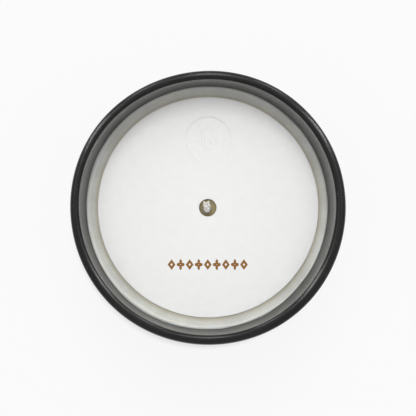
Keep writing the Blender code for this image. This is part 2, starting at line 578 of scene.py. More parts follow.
class Slot(Enum):
    """The record's material slots."""

    GLAZE = "vessel_glaze"
    WAX = "candle_wax"
    COTTON = "wick_cotton"
    STEEL = "tinned_steel"
    FOAM = "pad_foam"
    CARD = "white_card"
    FOIL = "copper_foil"


def take_up(piece: bpy.types.Object) -> bpy.types.Object:
    """Makes a piece the only one selected, and the active one.

    Args:
        piece: the piece.

    Returns:
        The same piece.
    """
    bpy.ops.object.select_all(action="DESELECT")
    piece.select_set(True)
    bpy.context.view_layer.objects.active = piece
    return piece


def settled(name: str) -> bpy.types.Object:
    """Names the active piece, and puts its place into its mesh.

    Args:
        name: its name.

    Returns:
        The piece.
    """
    piece = bpy.context.active_object
    piece.name = name
    bpy.ops.object.transform_apply(location=True, rotation=True, scale=True)
    return piece


@contextmanager
def editing(piece: bpy.types.Object) -> Iterator[None]:
    """Edit mode on a piece, with nothing of it selected at the start.

    Args:
        piece: the piece.

    Yields:
        Nothing, while the piece is in edit mode.
    """
    take_up(piece)
    bpy.ops.object.mode_set(mode="EDIT")
    bpy.ops.mesh.select_all(action="DESELECT")
    yield
    bpy.ops.object.mode_set(mode="OBJECT")


def pick_faces(piece: bpy.types.Object, wanted: Callable[[Vector], bool]) -> None:
    """Selects, in edit mode, the faces whose middle is wanted.

    Args:
        piece: the piece.
        wanted: says of a face's middle whether the face is wanted.
    """
    bpy.ops.mesh.select_mode(type="FACE")
    shape = bmesh.from_edit_mesh(piece.data)
    for face in shape.faces:
        face.select_set(wanted(face.calc_center_median()))
    bmesh.update_edit_mesh(piece.data)


def lathe(name: str, rings: Sequence[Ring], sides: int, loop: bool = False) -> bpy.types.Object:
    """Turns a shape about Z by drawing a hoop out from ring to ring.

    Args:
        name: the piece's name.
        rings: radius and height of each ring. A radius of 0 at an end closes it at a pole.
        sides: how many sides a hoop has.
        loop: whether the last ring joins the first.

    Returns:
        The piece, with its faces pointing outwards.
    """
    bpy.ops.object.select_all(action="DESELECT")
    poled = rings[0][0] == 0
    route = list(rings[1:] if poled else rings) + ([rings[0]] if loop else [])
    radius, z = route[0]
    fill = "TRIFAN" if poled else "NOTHING"
    bpy.ops.mesh.primitive_circle_add(
        vertices=sides, radius=radius, location=(0, 0, z), fill_type=fill
    )
    piece = settled(name)
    with editing(piece):
        bpy.ops.mesh.select_mode(type="EDGE")
        bpy.ops.mesh.select_all(action="SELECT")
        if poled:
            bpy.ops.mesh.region_to_loop()
        for wide, high in route[1:]:
            bpy.ops.mesh.extrude_edges_move(TRANSFORM_OT_translate={"value": (0, 0, high - z)})
            if wide == 0:
                bpy.ops.mesh.merge(type="CENTER")
                break
            size = wide / radius
            bpy.ops.transform.resize(value=(size, size, 1), center_override=(0, 0, high))
            radius, z = wide, high
        bpy.ops.mesh.select_all(action="SELECT")
        bpy.ops.mesh.remove_doubles(threshold=0.0005 * MM)
        bpy.ops.mesh.normals_make_consistent(inside=False)
    return piece


def arc(centre: Ring, radius: float, start: float, end: float, spans: int) -> list[Ring]:
    """Rings along a rounded corner.

    Args:
        centre: radius and height of the corner's centre.
        radius: the corner's radius.
        start: its first angle, in degrees from straight out.
        end: its last angle.
        spans: how many spans it has.

    Returns:
        The rings.
    """
    turns = [math.radians(start + (end - start) * i / spans) for i in range(spans + 1)]
    return [(centre[0] + radius * math.cos(t), centre[1] + radius * math.sin(t)) for t in turns]


def line(start: Ring, end: Ring, spans: int) -> list[Ring]:
    """Evenly spaced rings from start to end, without the two ends."""
    shares = [i / spans for i in range(1, spans)]
    return [
        (start[0] + (end[0] - start[0]) * s, start[1] + (end[1] - start[1]) * s) for s in shares
    ]


def reshape(piece: bpy.types.Object, move: Callable[[Vector], Vector]) -> None:
    """Moves every vertex of a piece to where move says.

    Args:
        piece: the piece.
        move: gives a vertex's new place from its old one.
    """
    for vertex in piece.data.vertices:
        vertex.co = move(vertex.co.copy())
    piece.data.update()


def applied(piece: bpy.types.Object, kind: str, **settings: object) -> None:
    """Adds a modifier to a piece and applies it.

    Args:
        piece: the piece.
        kind: the modifier's type.
        settings: the modifier's properties.
    """
    take_up(piece)
    modifier = piece.modifiers.new(kind.lower(), kind)
    for key, value in settings.items():
        setattr(modifier, key, value)
    bpy.ops.object.modifier_apply(modifier=modifier.name)


def joined(name: str, parts: Sequence[bpy.types.Object]) -> bpy.types.Object:
    """Makes one piece of several.

    Args:
        name: the new piece's name.
        parts: the pieces.

    Returns:
        The new piece.
    """
    take_up(parts[0])
    for part in parts:
        part.select_set(True)
    bpy.ops.object.join()
    parts[0].name = name
    return parts[0]


def copied(piece: bpy.types.Object, x: float) -> bpy.types.Object:
    """A copy of a piece, with its own mesh, moved along X.

    Args:
        piece: the piece.
        x: how far the copy is moved.

    Returns:
        The copy.
    """
    take_up(piece)
    bpy.ops.object.duplicate(linked=False)
    bpy.ops.transform.translate(value=(x, 0, 0))
    return settled(piece.name + "_copy")


def dress(
    piece: bpy.types.Object,
    material: bpy.types.Material,
    node: str | None = None,
    degrees: float = 40,
) -> None:
    """Gives a finished piece its material, its shading and its body.

    Args:
        piece: the piece.
        material: its material.
        node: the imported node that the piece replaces, if any.
        degrees: the sharpest bend that is shaded smooth.
    """
    piece.data.materials.clear()
    piece.data.materials.append(material)
    take_up(piece)
    bpy.ops.object.shade_smooth_by_angle(angle=math.radians(degrees))
    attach(piece, BODY)
    if node:
        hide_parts(node)


def eased(value: float) -> float:
    """A soft step between 0 and 1."""
    value = min(1.0, max(0.0, value))
    return value * value * (3 - 2 * value)


def hump(angle: float, middle: float, width: float) -> float:
    """A rounded hump over an angle in degrees: 1 at its middle, nearly 0 at twice its width."""
    away = (angle - middle + 180) % 360 - 180
    return math.exp(-((away / width) ** 2))


# ---------------------------------------------------------------- sub-assemblies


@dataclass(frozen=True)
class Wave:
    """One wave in a hoop that isn't quite round."""

    count: int
    height: float
    phase: float  # degrees

    def at(self, angle: float) -> float:
        """Its height at an angle in radians."""
        return self.height * math.cos(self.count * angle - math.radians(self.phase))


@dataclass
class Vessel:
    """The tumbler: flat floor, drafted walls, a rounded lip and a recessed foot."""

    sides: int = 224
    lip_inner_round: float = 1.15 * MM
    lip_outer_round: float = 1.55 * MM
    outer_draft: float = 1.9  # degrees
    inner_draft: float = 2.35
    floor_z: float = 8 * MM
    floor_corner: float = 4 * MM
    base_corner: float = 3 * MM
    foot_inner_radius: float = 31.5 * MM
    foot_recess: float = 1.2 * MM
    fill_z: float = 68.1 * MM
    fill_offset: tuple[float, float] = (-0.30 * MM, -0.09 * MM)  # of the inside wall at fill_z
    fill_waves: tuple[Wave, ...] = (Wave(0, 0.12 * MM, 0), Wave(2, 0.19 * MM, 164))
    mouth_offset: tuple[float, float] = (-0.14 * MM, 0.22 * MM)  # of the inside wall at the lip
    mouth_waves: tuple[Wave, ...] = (Wave(0, -0.22 * MM, 0), Wave(3, 0.09 * MM, 102))
    waves: tuple[Wave, ...] = (  # of both walls
        Wave(2, 0.12 * MM, 5),
        Wave(3, 0.09 * MM, 150),
        Wave(4, 0.09 * MM, -145),
        Wave(5, 0.035 * MM, 44),
    )

    def __post_init__(self) -> None:
        """Takes the height and the width from the frame."""
        low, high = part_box("vessel")
        self.height = high.z - low.z
        self.radius = (high.x - low.x) / 2

    def outer_radius(self, z: float) -> float:
        """Radius of the outside wall at a height."""
        drop = self.height - self.lip_outer_round - z
        return self.radius - drop * math.tan(math.radians(self.outer_draft))

    def inner_radius(self, z: float) -> float:
        """Radius of the inside wall at a height.

        Args:
            z: the height.

        Returns:
            The radius.
        """
        drop = self.height - self.lip_inner_round - z
        top = self.radius - self.lip_outer_round - self.lip_inner_round
        return top - drop * math.tan(math.radians(self.inner_draft))

    def _offset(self, z: float, angle: float) -> Vector:
        """How far the inside wall is off the true one at a height and an angle in radians.

        Args:
            z: the height.
            angle: the angle.

        Returns:
            The offset.
        """
        part = (z - self.fill_z) / (self.height - self.fill_z)
        rise = (z - self.floor_z) / (self.fill_z - self.floor_z)
        at_fill = 1 - min(1.0, part) if part > 0 else max(0.0, rise)
        at_mouth = min(1.0, max(0.0, part))
        outward = Vector((math.cos(angle), math.sin(angle), 0))
        fill = Vector((*self.fill_offset, 0)) + outward * sum(w.at(angle) for w in self.fill_waves)
        mouth = Vector((*self.mouth_offset, 0)) + outward * sum(w.at(angle) for w in self.mouth_waves)
        return fill * at_fill + mouth * at_mouth

    def swollen(self, point: Vector, inward: float) -> Vector:
        """Where a point of a true round shape lies on the real, hand-finished one.

        Args:
            point: the point on the true shape.
            inward: 1 on the inside wall, 0 on the outside wall.

        Returns:
            The moved point.
        """
        angle = math.atan2(point.y, point.x)
        size = math.hypot(point.x, point.y) / self.radius
        swell = sum(wave.at(angle) for wave in self.waves) * (point.z / self.height) * size
        moved = Vector((math.cos(angle) * swell, math.sin(angle) * swell, 0))
        return point + moved + self._offset(point.z, angle) * inward

    def inside(self, point: Vector) -> Vector:
        """The same for a point of what fills the vessel."""
        near = min(1.0, math.hypot(point.x, point.y) / self.inner_radius(point.z))
        return self.swollen(point, eased(near))

    def _moved(self, point: Vector) -> Vector:
        """The same for a point of the vessel itself.

        Args:
            point: the point on the true shape.

        Returns:
            The moved point.
        """
        outer, inner = self.outer_radius(point.z), self.inner_radius(point.z)
        share = (outer - math.hypot(point.x, point.y)) / (outer - inner)
        inward = min(1.0, max(0.0, share)) if point.z > self.floor_z - 0.1 * MM else 0.0
        return self.swollen(point, inward)

    def _rings(self) -> list[Ring]:
        """The profile, from the middle of the floor over the lip to the middle of the base.

        Returns:
            The rings.
        """
        corner_z = self.floor_z + self.floor_corner
        corner = (self.inner_radius(corner_z) - self.floor_corner, corner_z)
        crest = self.inner_radius(self.height - self.lip_inner_round) + self.lip_inner_round
        lip_in = (crest, self.height - self.lip_inner_round)
        lip_out = (crest, self.height - self.lip_outer_round)
        base = (self.outer_radius(self.base_corner) - self.base_corner, self.base_corner)
        foot = self.foot_inner_radius + 0.4 * MM
        rings = [(0, self.floor_z)]
        rings += [(r * MM, self.floor_z) for r in (2, 7, 13, 19, 25, 30)]
        rings += arc(corner, self.floor_corner, -88, 0, 8)
        rings += line(rings[-1], (lip_in[0] - self.lip_inner_round, lip_in[1]), 14)
        rings += arc(lip_in, self.lip_inner_round, 180, 90, 9)
        rings += arc(lip_out, self.lip_outer_round, 90, 0, 12)[1:]
        rings += line(rings[-1], (base[0] + self.base_corner, base[1]), 16)
        rings += arc(base, self.base_corner, 0, -90, 8)
        rings += [(34 * MM, 0), (foot + 0.5 * MM, 0)]
        rings += arc((foot, 0.4 * MM), 0.4 * MM, -90, -180, 4)
        rings += [(foot - 0.8 * MM, 0.9 * MM), (foot - 1.3 * MM, 1.12 * MM)]
        rings += [(r * MM, self.foot_recess) for r in (29.8, 24, 17, 10, 4)]
        return rings + [(0, self.foot_recess)]

    def build(self) -> bpy.types.Object:
        """Turns the tumbler and dresses it in its glaze.

        Returns:
            The finished piece.
        """
        piece = lathe("tumbler", self._rings(), self.sides)
        reshape(piece, self._moved)
        dress(piece, SatinGlaze().material(), "vessel")
        return piece


@dataclass
class BraidedWick:
    """An eight-strand cotton braid over a core, upright in the wax and leaning above it."""

    neck_top: float = 16.1 * MM
    wax_z: float = 66.3 * MM
    stand: float = 7 * MM
    drift: tuple[float, float] = (-0.3 * MM, -0.46 * MM)
    lean: tuple[float, float] = (-0.22 * MM, 1.6 * MM)
    strands: int = 8
    strand_radius: float = 0.34 * MM
    braid_radius: float = 0.69 * MM
    weave: float = 0.12 * MM  # how far a strand dives in and out
    turn_length: float = 7.4 * MM
    core_radius: float = 0.52 * MM
    step: float = 0.23 * MM
    splay: float = 0.30 * MM
    splay_length: float = 1.4 * MM
    end_gap: float = 0.1 * MM  # from the yarns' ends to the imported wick's two ends
    fraying: float = 0.35 * MM
    core_step: float = 0.5 * MM
    curl: float = 6.5  # the higher, the closer to its tip it bends
    cut_slope: float = 0.7  # how steeply the trimmed end slants down towards -Y
    seed: int = 7

    def __post_init__(self) -> None:
        """Takes the foot and the tip from the frame."""
        low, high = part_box("wick")
        self.foot_z = low.z
        self.tip_z = high.z

    def centre(self, z: float) -> Vector:
        """The braid's middle at a height.

        Args:
            z: the height.

        Returns:
            The middle.
        """
        inside = eased((z - self.neck_top) / (self.wax_z - self.neck_top))
        above = max(0, (z - self.wax_z) / self.stand) ** self.curl
        x = inside * self.drift[0] + above * self.lean[0]
        y = inside * self.drift[1] + above * self.lean[1]
        return Vector((x, y, z))

    def _yarn(self, name: str, points: Sequence[Vector], thickness: float) -> bpy.types.Object:
        """One yarn along its points, with a closed, tapered end.

        Args:
            name: the yarn's name.
            points: its points, from the foot up.
            thickness: its radius.

        Returns:
            The yarn.
        """
        curve = bpy.data.curves.new(name, "CURVE")
        curve.dimensions = "3D"
        curve.bevel_depth = thickness
        curve.bevel_resolution = 2
        curve.use_fill_caps = True
        spline = curve.splines.new("POLY")
        spline.points.add(len(points) - 1)
        for spot, point in zip(spline.points, points):
            spot.co = (*point, 1)
        for spot, share in zip(reversed(spline.points), (0.45, 0.85)):
            spot.radius = share
        yarn = bpy.data.objects.new(name, curve)
        bpy.context.scene.collection.objects.link(yarn)
        take_up(yarn)
        bpy.ops.object.convert(target="MESH")
        yarn = bpy.context.active_object
        with editing(yarn):
            bpy.ops.mesh.select_all(action="SELECT")
            bpy.ops.mesh.remove_doubles(threshold=0.001 * MM)
            bpy.ops.mesh.normals_make_consistent(inside=False)
        return yarn

    def _trimmed(self, y: float) -> float:
        """Height of the slanting cut at a place across the braid."""
        down = (self.braid_radius - min(y, self.braid_radius)) * self.cut_slope
        return self.tip_z - self.end_gap - down

    def _strand(self, number: int, dice: random.Random) -> bpy.types.Object:
        """One strand of the braid: odd ones wind one way and even ones the other.

        Args:
            number: the strand's number.
            dice: says how far its end is frayed away.

        Returns:
            The strand.
        """
        way = 1 if number % 2 else -1
        start = number // 2 * math.tau / (self.strands // 2)
        frayed = dice.uniform(0.0, self.fraying)
        points = []
        z = self.foot_z + self.end_gap
        while True:
            angle = start + way * math.tau * (z - self.foot_z) / self.turn_length
            dive = way * self.weave * math.cos(self.strands / 2 * angle)
            splayed = eased(1 + (z - self.tip_z) / self.splay_length) * self.splay
            reach = self.braid_radius + dive + splayed
            x, y = reach * math.cos(angle), reach * math.sin(angle)
            if z > self._trimmed(y) - frayed:
                break
            points.append(self.centre(z) + Vector((x, y, 0)))
            z += self.step
        return self._yarn(f"strand_{number}", points, self.strand_radius)

    def build(self) -> bpy.types.Object:
        """Braids the wick and dresses it in its cotton.

        Returns:
            The finished piece.
        """
        dice = random.Random(self.seed)
        core = [self.centre(self.foot_z + self.end_gap)]
        while core[-1].z < self._trimmed(0) - self.core_step:
            core.append(self.centre(core[-1].z + self.core_step))
        yarns = [self._yarn("core", core, self.core_radius)]
        yarns += [self._strand(number, dice) for number in range(self.strands)]
        piece = joined("braided_wick", yarns)
        dress(piece, WaxedCotton().material(), "wick", 60)
        return piece


@dataclass
class WickSustainer:
    """The pressed tinplate tab with a crimped neck that holds the wick upright."""

    sides: int = 96
    neck_bore: float = 1.45 * MM
    neck_radius: float = 1.95 * MM
    neck_fillet: float = 0.8 * MM
    thickness: float = 0.5 * MM
    ribs: int = 8
    rib_height: float = 0.12 * MM
    crimp: float = 0.14 * MM
    crimp_foot: float = 2 * MM  # above the tab
    edge_roll: float = 0.2 * MM

    def __post_init__(self) -> None:
        """Takes the tab's width and the neck's height from the frame."""
        low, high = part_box("wick_sustainer")
        self.radius = (high.x - low.x) / 2
        self.foot_z, self.top_z = low.z, high.z

    def _pressed(self, point: Vector) -> Vector:
        """Presses ribs into the tab and four dents into the neck.

        Args:
            point: a point of the plain shape.

        Returns:
            The moved point.
        """
        angle = math.atan2(point.y, point.x)
        radius = math.hypot(point.x, point.y)
        tab_top = self.foot_z + self.thickness
        if point.z > tab_top + self.crimp_foot:
            high = eased((point.z - tab_top - self.crimp_foot) / MM)
            high *= eased((self.top_z - point.z) / (0.8 * MM))
            dent = 1 - self.crimp * high * max(0, math.cos(4 * angle)) / radius
            return Vector((point.x * dent, point.y * dent, point.z))
        near = eased((radius - 4 * MM) / (1.5 * MM)) * eased((self.radius - MM - radius) / MM)
        rise = max(0, math.cos(self.ribs * angle)) ** 2 * self.rib_height * near
        return point + Vector((0, 0, rise))

    def build(self) -> bpy.types.Object:
        """Presses the sustainer and dresses it in its tinplate.

        Returns:
            The finished piece.
        """
        tab_top = self.foot_z + self.thickness
        fillet = (self.neck_radius + self.neck_fillet, tab_top + self.neck_fillet)
        roll = self.edge_roll
        rings = [(self.neck_bore, self.top_z - 0.1 * MM)]
        rings += [(self.neck_bore + 0.1 * MM, self.top_z)]
        rings += [(self.neck_radius - 0.1 * MM, self.top_z)]
        rings += [(self.neck_radius, self.top_z - 0.15 * MM)]
        rings += line(rings[-1], (self.neck_radius, fillet[1]), 12)
        rings += arc(fillet, self.neck_fillet, 180, 270, 6)
        rings += line(rings[-1], (self.radius - roll, tab_top), 12)
        rings += arc((self.radius - roll, tab_top - roll), roll, 90, 0, 4)
        rings += arc((self.radius - roll, self.foot_z + roll), roll, 0, -90, 4)
        rings += line(rings[-1], (self.neck_bore + 0.1 * MM, self.foot_z), 12)
        rings += [(self.neck_bore, self.foot_z + 0.1 * MM)]
        rings += line(rings[-1], rings[0], 14)
        piece = lathe("pressed_sustainer", rings, self.sides, loop=True)
        reshape(piece, self._pressed)
        dress(piece, TinnedSteel().material(), "wick_sustainer")
        return piece


@dataclass
class AdhesivePad:
    """The foam disc that sticks the sustainer to the vessel's floor."""

    sides: int = 96
    edge_round: float = 0.18 * MM
    squeeze: float = 0.06 * MM

    def build(self) -> bpy.types.Object:
        """Punches the pad out, bulges it a little and dresses it in its foam.

        Returns:
            The finished piece.
        """
        low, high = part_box("adhesive_pad")
        radius, soft = (high.x - low.x) / 2 - self.squeeze, self.edge_round
        middle = (low.z + high.z) / 2
        inner = [r * MM for r in (0, 1.5, 4, 7)]
        rings = [(r, high.z) for r in inner]
        rings += arc((radius - soft, high.z - soft), soft, 90, 20, 4)
        rings += [(radius + self.squeeze, middle)]
        rings += arc((radius - soft, low.z + soft), soft, -20, -90, 4)
        rings += [(r, low.z) for r in reversed(inner)]
        piece = lathe("foam_pad", rings, self.sides)
        dress(piece, FoamTape().material(), "adhesive_pad")
        return piece


@dataclass
class WaxFill:
    """The poured wax: a nearly flat top that climbs the wall, with room for what stands in it."""

    vessel: Vessel
    wick: BraidedWick
    sides: int = 224
    middle_z: float = 66.3 * MM
    shelf_radius: float = 36 * MM
    shelf_z: float = 66.9 * MM
    climb: float = 1.2 * MM
    climb_rings: int = 24
    climb_bend: int = 12  # the higher, the closer to the wall it climbs
    crowding: float = 1.7  # how much closer those rings stand towards the wall
    bore_spans: int = 24
    unevenness: float = 0.05 * MM
    wall_top: float = 66.4 * MM
    wall_gap: float = 0.03 * MM
    shrinkage: float = 0.11 * MM  # how much further it pulls away from the wall towards -Y
    pocket_gap: float = 0.3 * MM
    neck_pocket: float = 2.25 * MM
    bore_radius: float = 1.24 * MM
    splashes: tuple[tuple[float, float, float], ...] = (  # height in mm, middle and width in degrees
        (2.4, 240, 17),
        (1.8, 277, 3),
        (1.2, 298, 4),
        (0.5, 262, 2.5),
        (0.6, 158, 9),
        (0.5, 85, 20),
        (-1.2, 320, 15),
    )
    ripples: tuple[Wave, ...] = (
        Wave(11, 0.14 * MM, 15.5),
        Wave(23, 0.10 * MM, 67.1),
        Wave(41, 0.06 * MM, 90),
    )

    def _contact(self, angle: float) -> float:
        """How far the wax climbs the wall above its even line, at an angle in radians.

        Args:
            angle: the angle.

        Returns:
            The height, which is below 0 where it dips.
        """
        turn = math.degrees(angle)
        splashed = sum(high * hump(turn, middle, width) for high, middle, width in self.splashes)
        return splashed * MM + sum(ripple.at(angle) for ripple in self.ripples)

    def _rim(self, z: float) -> float:
        """Radius of the wax where it meets the wall at a height."""
        return self.vessel.inner_radius(z) - self.wall_gap

    def _poured(self, point: Vector) -> Vector:
        """Moves a point of the turned shape to where the set wax lies.

        Args:
            point: the point on the turned shape.

        Returns:
            The moved point.
        """
        angle = math.atan2(point.y, point.x)
        radius = math.hypot(point.x, point.y)
        rim_z = self.shelf_z + self.climb
        rim = self._rim(rim_z)
        if radius > self.shelf_radius and point.z >= self.shelf_z - 0.01 * MM:
            part = (radius - self.shelf_radius) / (rim - self.shelf_radius)
            extra = self._contact(angle)
            pulled = self.shrinkage * eased(0.5 - math.sin(angle) / 1.6)
            wall = self._rim(rim_z + extra) - pulled
            radius = self.shelf_radius + (wall - self.shelf_radius) * part
            point.z += extra * part**self.climb_bend
            point.x, point.y = radius * math.cos(angle), radius * math.sin(angle)
        if radius < self.shelf_radius and point.z > self.middle_z - 1 * MM:
            slow = math.sin(point.x * 190 + 1) * math.sin(point.y * 160 + 2)
            point.z += self.unevenness * slow * eased((self.shelf_radius - radius) / (4 * MM))
        moved = self.vessel.inside(point)
        near = 1 - eased((radius - 2 * MM) / (4 * MM))
        centre = self.wick.centre(max(moved.z, self.wick.neck_top))
        return moved + Vector((centre.x, centre.y, 0)) * near

    def _rings(self) -> list[Ring]:
        """The section, from the wick out over the top, down the wall and back under.

        Returns:
            The rings.
        """
        gap, neck, bore = self.pocket_gap, self.neck_pocket, self.bore_radius
        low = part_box("wax_fill")[0].z
        tab_low, tab_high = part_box("wick_sustainer")
        tab = (tab_high.x - tab_low.x) / 2 + gap
        tab_top = tab_low.z + WickSustainer.thickness + gap
        dip = self.middle_z - 0.25 * MM
        rings = [(bore, dip + 0.32 * MM), (bore + 0.12 * MM, dip + 0.15 * MM)]
        rings += [(bore + 0.4 * MM, dip + 0.04 * MM), (bore + 0.9 * MM, dip)]
        rings += [(3.2 * MM, dip + 0.06 * MM), (4.5 * MM, self.middle_z - 0.08 * MM)]
        rings += line((6 * MM, self.middle_z), (self.shelf_radius, self.shelf_z), 18)
        rings += [(self.shelf_radius, self.shelf_z)]
        width = self._rim(self.shelf_z + self.climb) - self.shelf_radius
        for i in range(1, self.climb_rings + 1):
            part = 1 - (1 - i / self.climb_rings) ** self.crowding
            lift = 0.2 * part + 0.8 * part**self.climb_bend
            rings.append((self.shelf_radius + width * part, self.shelf_z + self.climb * lift))
        down = (self._rim(self.wall_top), self.wall_top)
        corner_z = self.vessel.floor_z + self.vessel.floor_corner
        corner = (self.vessel.inner_radius(corner_z) - self.vessel.floor_corner, corner_z)
        turn = arc(corner, self.vessel.floor_corner - self.wall_gap, 0, -90, 8)
        rings += [down] + line(down, turn[0], 14) + turn
        base = turn[-1][1]
        LOG.info("wax sits %.2f mm over the packed one's base", (base - low) / MM)
        rings += line(turn[-1], (tab, base), 6) + [(tab, base), (tab, tab_top)]
        rings += [(5 * MM, tab_top), (neck + 0.8 * MM, tab_top), (neck, tab_top + 0.8 * MM)]
        rings += [(neck, self.wick.neck_top + gap), (bore, self.wick.neck_top + gap)]
        return rings + line(rings[-1], rings[0], self.bore_spans)

    def build(self) -> bpy.types.Object:
        """Pours the wax and dresses it.

        Returns:
            The finished piece.
        """
        piece = lathe("poured_wax", self._rings(), self.sides, loop=True)
        reshape(piece, self._poured)
        dress(piece, CandleWax().material(), "wax_fill", 50)
        return piece


@dataclass(frozen=True)
class Emblem:
    """A plain flame with rays in a round field, pressed into the board without ink."""

    middle: tuple[float, float] = (0.03 * MM, 21.68 * MM)
    radius: float = 7.3 * MM
    slope: float = 0.42 * MM
    depth: float = 0.15 * MM
    stroke: float = 0.52 * MM
    rise: float = 0.10 * MM
    flame: float = 2.1 * MM
    flame_drop: float = 0.7 * MM
    flame_point: float = 0.95  # how much further its tip reaches
    flame_taper: int = 7  # the higher, the narrower the tip
    core_size: float = 0.42  # the inner flame's size over the outer one's
    core_drop: float = 1.2 * MM
    rays: int = 12
    ray_middle: float = 5.3 * MM
    ray_half: float = 0.45 * MM

    def _flame(self, x: float, y: float, size: float) -> float:
        """How far a point is from the outline of a flame of that size.

        Args:
            x: across, from the flame's middle.
            y: up, from the flame's middle.
            size: the flame's radius at its foot.

        Returns:
            The distance.
        """
        away, turn = math.hypot(x, y), math.atan2(x, y)
        lift = (1 + math.cos(turn)) / 2
        point, taper = self.flame_point, self.flame_taper
        edge = size * (1 + point * lift**taper)
        slope = -size * point * taper * lift ** (taper - 1) * math.sin(turn) / 2
        return abs(away - edge) / math.sqrt(1 + (slope / edge) ** 2)

    def _ray(self, x: float, y: float) -> float:
        """How far a point is from the nearest ray.

        Args:
            x: across, from the emblem's middle.
            y: up, from the emblem's middle.

        Returns:
            The distance.
        """
        away, turn = math.hypot(x, y), math.atan2(y, x)
        gap = math.tau / self.rays
        across = abs((turn + gap / 2) % gap - gap / 2) * away
        along = max(0, abs(away - self.ray_middle) - self.ray_half)
        return math.hypot(across, along)

    def height(self, x: float, y: float) -> float:
        """How far the board stands over its face at a place, which is below 0 in the field.

        Args:
            x: the place along X.
            y: the place along Y.

        Returns:
            The height.
        """
        x, y = x - self.middle[0], y - self.middle[1]
        away = math.hypot(x, y)
        if away > self.radius:
            return 0
        nearest = min(
            self._flame(x, y + self.flame_drop, self.flame),
            self._flame(x, y + self.core_drop, self.flame * self.core_size),
            self._ray(x, y) + 0.06 * MM,
        )
        flank = eased((nearest - self.stroke * 0.22) / (self.stroke * 0.42))
        lines = self.rise * (1 - flank)
        return lines - self.depth * eased((self.radius - away) / self.slope)


@dataclass
class DustCover:
    """The die-cut board disc on the wax, punched for the wick, with a pressed-in emblem."""

    emblem: Emblem = Emblem()
    sides: int = 192
    offset: tuple[float, float] = (-0.02 * MM, 0.17 * MM)
    hole_radius: float = 2.75 * MM
    hole_offset: tuple[float, float] = (-0.14 * MM, 0.02 * MM)
    hole_reach: float = 6 * MM  # how far from the hole's edge its offset dies out
    edge_roll: float = 0.10 * MM
    warp: float = 0.07 * MM

    def __post_init__(self) -> None:
        """Takes the disc's width and thickness from the frame."""
        low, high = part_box("dust_cover")
        self.radius = (high.x - low.x) / 2
        self.low_z, self.top_z = low.z, high.z
        self.middle_z = (low.z + high.z) / 2

    def laid(self, point: Vector) -> Vector:
        """Where a point of the flat board lies once the board rests on the wax.

        Args:
            point: the point.

        Returns:
            The moved point.
        """
        x, y = point.x / self.radius, point.y / self.radius
        bow = self.warp * (0.7 * (x * x - y * y) + 0.5 * x * y + 0.35 * math.sin(3 * x + 1))
        return point + Vector((0, 0, bow))

    def _placed(self, point: Vector) -> Vector:
        """Shifts the disc and its hole, presses the emblem and lays the board down.

        Args:
            point: a point of the flat, round board.

        Returns:
            The moved point.
        """
        near = 1 - eased((math.hypot(point.x, point.y) - self.hole_radius) / self.hole_reach)
        point.x += self.offset[0] * (1 - near) + self.hole_offset[0] * near
        point.y += self.offset[1] * (1 - near) + self.hole_offset[1] * near
        if point.z > self.middle_z:
            point.z += self.emblem.height(point.x, point.y)
        return self.laid(point)

    def build(self) -> bpy.types.Object:
        """Cuts the disc, presses its emblem and dresses it in its board.

        Returns:
            The finished piece.
        """
        roll, hole, top = self.edge_roll, self.hole_radius, self.top_z
        rings = arc((hole + roll, top - roll), roll, 180, 90, 3)
        rings += line(rings[-1], (self.radius - roll, top), 26)
        rings += arc((self.radius - roll, top - roll), roll, 90, 0, 4)
        rings += [(self.radius, self.low_z + 0.03 * MM), (self.radius - 0.03 * MM, self.low_z)]
        rings += line(rings[-1], (hole + 0.03 * MM, self.low_z), 12)
        rings += [(hole + 0.03 * MM, self.low_z), (hole, self.low_z + 0.03 * MM)]
        piece = lathe("printed_dust_cover", rings, self.sides, loop=True)
        reach = self.emblem.radius + 0.8 * MM
        middle = Vector((*self.emblem.middle, top))
        with editing(piece):
            pick_faces(piece, lambda at: at.z > top - 0.01 * MM and (at - middle).length < reach)
            bpy.ops.mesh.subdivide(number_cuts=7)
        reshape(piece, self._placed)
        line_radius = self.emblem.radius - 0.18 * MM
        board = CardStock(self.emblem.middle, line_radius, self.radius, hole)
        dress(piece, board.material(), "dust_cover", 50)
        return piece


class Ornament(Enum):
    """The two shapes that take turns along the foil border."""

    LOZENGE = "lozenge"
    ROSETTE = "rosette"


